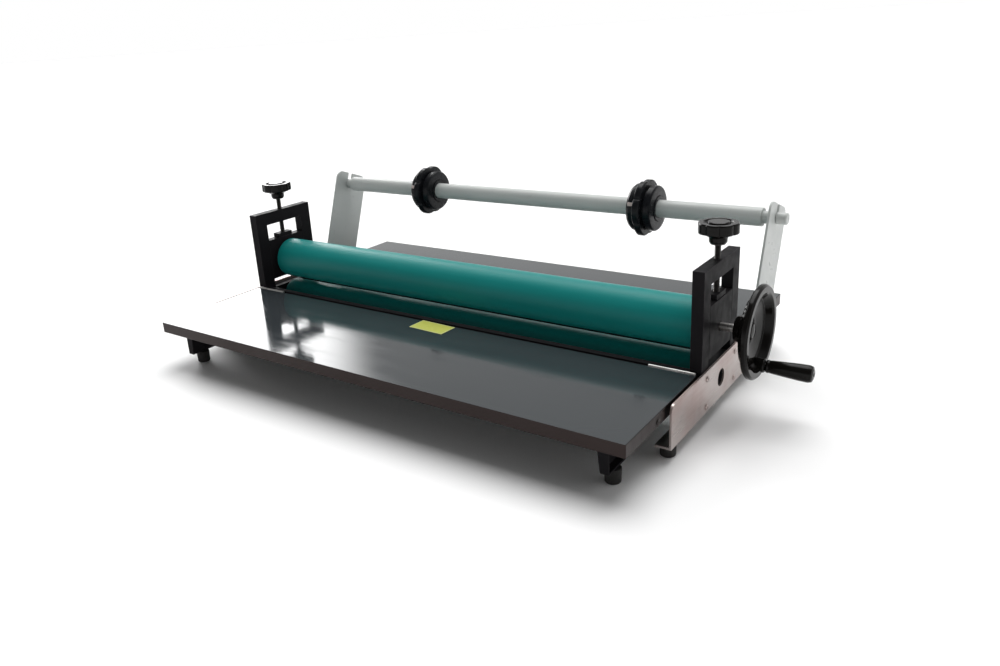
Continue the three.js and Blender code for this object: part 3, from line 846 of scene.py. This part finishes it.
def upright_screws():
    """Two heads hold each upright to its side plate, one above the other along the bar."""
    lift = next(j for j in frame["joints"] if j["name"] == "supply_lift")["axis"]
    tube = axis_of("supply_tube")
    for side in SIDES:
        low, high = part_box(f"upright_{side}")
        head_top = high.x if side == "right" else low.x
        for number, z in enumerate(UPRIGHT_SCREW_HEIGHTS):
            y = tube.y + (z - tube.z) * lift[1] / lift[2] + UPRIGHT_SCREW_SETBACK
            centre = (head_top - OUTWARD[side] * 2.6 * MM, y, z)
            head = pan_head(f"upright_screw_{side}_{number}", 6.2 * MM, 3.1 * MM, centre,
                            OUTWARD[side])
            add_to(head, f"upright_{side}", "bare_steel")


def lip_screws():
    """Small dark screws in the side lips of the feed table."""
    low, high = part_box("feed_table")
    for side in SIDES:
        face = high.x if side == "right" else low.x
        head = pan_head(f"lip_screw_{side}", 3.6 * MM, 1.6 * MM,
                        (face, low.y + LIP_SCREW_INSET, high.z - LIP_SCREW_DROP),
                        OUTWARD[side])
        add_to(head, "feed_table", "bare_steel", BLACK_OXIDE)


# ------------------------------------------------------------------- feet and label


def rubber_foot(node):
    """Tapered foot, hollow in the middle of its sole, where its screw head sits."""
    low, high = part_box(node)
    centre = axis_of(node)
    radius = (high.x - low.x) / 2
    tall = high.z - low.z
    profile = [(2.2 * MM, 0), (2.2 * MM, 3.2 * MM), (0, 3.2 * MM), (0, radius - 1.6 * MM),
               (1.2 * MM, radius - 0.6 * MM), (tall - 2 * MM, radius),
               (tall, radius - 0.4 * MM), (tall, 0)]
    piece = turned(f"{node}_moulding", softened(profile, 0.8 * MM), "Z",
                   (centre.x, centre.y, low.z), 64)
    stand_for(smooth(piece), node, "foot_rubber")
    screw = turned(f"{node}_screw", scaled([(1.1, 0), (1.1, 2.9), (2.4, 2.9), (2.4, 0)]), "Z",
                   (centre.x, centre.y, low.z), 24)
    add_to(smooth(screw), node, "bare_steel")


def label_field():
    """Coloured field of the blank label, a little inside its pale border."""
    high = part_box("blank_label")[1]
    centre = axis_of("blank_label")
    half_x, half_y = LABEL_HALF
    field = block("label_field", (-half_x, -half_y, 0), (half_x, half_y, 0.1 * MM), 0.03 * MM)
    field.data.transform(Matrix.Translation((centre.x, centre.y, high.z - 0.02 * MM))
                         @ Matrix.Rotation(LABEL_TURN, 4, "Z"))
    add_to(smooth(field), "blank_label", "label_paper", LABEL_INK)


# ------------------------------------------------------------- stage, light, camera


def floor():
    bm = bmesh.new()
    bmesh.ops.create_circle(bm, cap_ends=True, segments=64, radius=FLOOR_RADIUS)
    piece = object_from("studio_floor", bm)
    look = Look("studio_floor_paint", (0.93, 0.93, 0.93), 0.9, specular=0.1)
    look.colour(look.mix(look.noise(1.5, 3), (0.925, 0.925, 0.925), (0.94, 0.94, 0.94)))
    piece.data.materials.append(look.material)


def studio_world():
    """White horizon, dim above it in front, greyer above it behind, a window at the left rear."""
    world = bpy.data.worlds.new("studio")
    bpy.context.scene.world = world
    world.use_nodes = True
    tree = world.node_tree
    background = tree.nodes["Background"]
    direction = tree.nodes.new("ShaderNodeTexCoord").outputs["Generated"]
    split = tree.nodes.new("ShaderNodeSeparateXYZ")
    tree.links.new(direction, split.inputs[0])
    maths = partial(maths_node, tree)
    step = partial(spread_node, tree)

    elevation = maths("MULTIPLY", maths("ARCSINE", split.outputs["Z"]), 180 / math.pi)
    azimuth = maths("MULTIPLY", maths("ARCTAN2", split.outputs["Y"], split.outputs["X"]),
                    180 / math.pi)
    behind = maths("ADD", step(elevation, 6, 26, 1.0, 0.62), step(elevation, 35, 75, 0.0, 0.25))
    in_front = step(elevation, 5, 20, 1.0, 0.12)
    rearward = step(split.outputs["Y"], -0.25, 0.15)
    sky = maths("ADD", in_front, maths("MULTIPLY", rearward, maths("SUBTRACT", behind, in_front)))
    sides = maths("MULTIPLY", step(azimuth, 134, 139), step(azimuth, 163, 168, 1, 0))
    window = maths("MULTIPLY", sides,
                   maths("MULTIPLY", step(elevation, 5, 9), step(elevation, 36, 42, 1, 0)))
    strength = maths("ADD", sky, maths("MULTIPLY", window, WINDOW_STRENGTH))
    background.inputs["Color"].default_value = (1.0, 1.0, 1.0, 1)
    tree.links.new(strength, background.inputs["Strength"])


def overhead_light():
    """One broad soft light from above, the same over the whole floor."""
    data = bpy.data.lights.new("overhead", "SUN")
    data.angle = math.radians(50)
    data.energy = 2.3
    light = bpy.data.objects.new("overhead", data)
    light.rotation_euler = Vector((0.1, -0.4, -1)).to_track_quat("-Z", "Y").to_euler()
    light.visible_camera = False
    bpy.context.scene.collection.objects.link(light)


def camera():
    """Standing at the feed side, to the right, looking down on the machine."""
    yaw, pitch, roll = CAMERA_YAW, CAMERA_PITCH, CAMERA_ROLL
    ahead = Vector((-math.sin(yaw) * math.cos(pitch), math.cos(yaw) * math.cos(pitch),
                    -math.sin(pitch)))
    right = ahead.cross(Vector((0, 0, 1))).normalized()
    above = right.cross(ahead)
    right_rolled = math.cos(roll) * right + math.sin(roll) * above
    above_rolled = -math.sin(roll) * right + math.cos(roll) * above
    data = bpy.data.cameras.new("camera")
    data.sensor_width = 36
    data.lens = 29.163
    data.shift_x = 0.0302
    data.shift_y = -0.0315
    data.clip_end = 200
    data.dof.use_dof = False
    piece = bpy.data.objects.new("camera", data)
    rotation = Matrix((right_rolled, above_rolled, -ahead)).transposed()
    piece.matrix_world = Matrix.Translation(CAMERA_AT) @ rotation.to_4x4()
    bpy.context.scene.collection.objects.link(piece)
    bpy.context.scene.camera = piece


# --------------------------------------------------------------------------- build

dress_cad_nodes()
roller_sleeve("upper_sleeve")
roller_sleeve("lower_sleeve")
roller_shaft("upper_shaft", "upper_sleeve", UPPER_STUB)
roller_shaft("lower_shaft", "lower_sleeve")
for each_side in SIDES:
    pressure_screw(each_side)
    star_knob(each_side)
    supply_plug(each_side)
    core_hub(each_side)
    lock_ring(each_side)
handwheel()
wheel_handle()
supply_tube()
side_screws()
upright_screws()
lip_screws()
for foot_name in ("feed_foot", "delivery_foot", "side_foot_front", "side_foot_rear"):
    for each_side in SIDES:
        rubber_foot(f"{foot_name}_{each_side}")
label_field()

floor()
studio_world()
overhead_light()
camera()
bpy.context.scene.view_settings.view_transform = "Standard"

bpy.context.view_layer.update()
